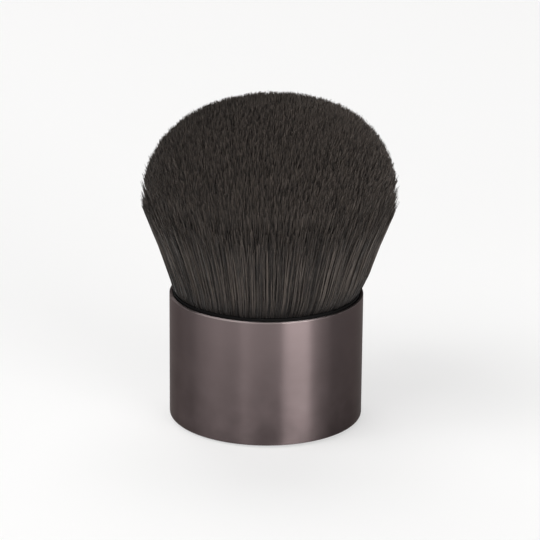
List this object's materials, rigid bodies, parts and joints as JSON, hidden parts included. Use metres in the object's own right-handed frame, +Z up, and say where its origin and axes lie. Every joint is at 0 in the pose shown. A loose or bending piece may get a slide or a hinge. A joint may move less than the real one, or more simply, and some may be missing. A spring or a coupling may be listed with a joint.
{
  "type": "kabuki makeup brush",
  "caption": "Short stand-up makeup brush: a dense domed tuft of dark fibres flares from a weighted round metal sleeve that is the grip.",
  "frame": {"origin": "middle of the foot pad's underside, on the surface the brush stands on", "axes": "+Z up along the brush's axis towards the tuft; the brush is round, and -Y faces the picture's camera"},
  "size_m": [0.0512, 0.0512, 0.0675],
  "materials": {
    "sleeve_metal": "brown-grey anodised, turned satin gloss",
    "black_moulding": "black moulded ABS, fine satin",
    "fibre": "soft charcoal synthetic fibre, tapered tips",
    "cast_adhesive": "cast clear amber epoxy",
    "bare_aluminium": "bare rolled strip",
    "weight_steel": "turned, zinc plated",
    "pad_rubber": "black foam rubber, fine texture"
  },
  "bodies": {
    "root": {"outer_sleeve": "sleeve_metal", "inner_cup": "black_moulding", "base_cap": "black_moulding", "bristle_tuft": "fibre", "root_adhesive": "cast_adhesive", "root_ring": "bare_aluminium", "base_weight": "weight_steel", "foot_pad": "pad_rubber"}
  },
  "joints": []
}
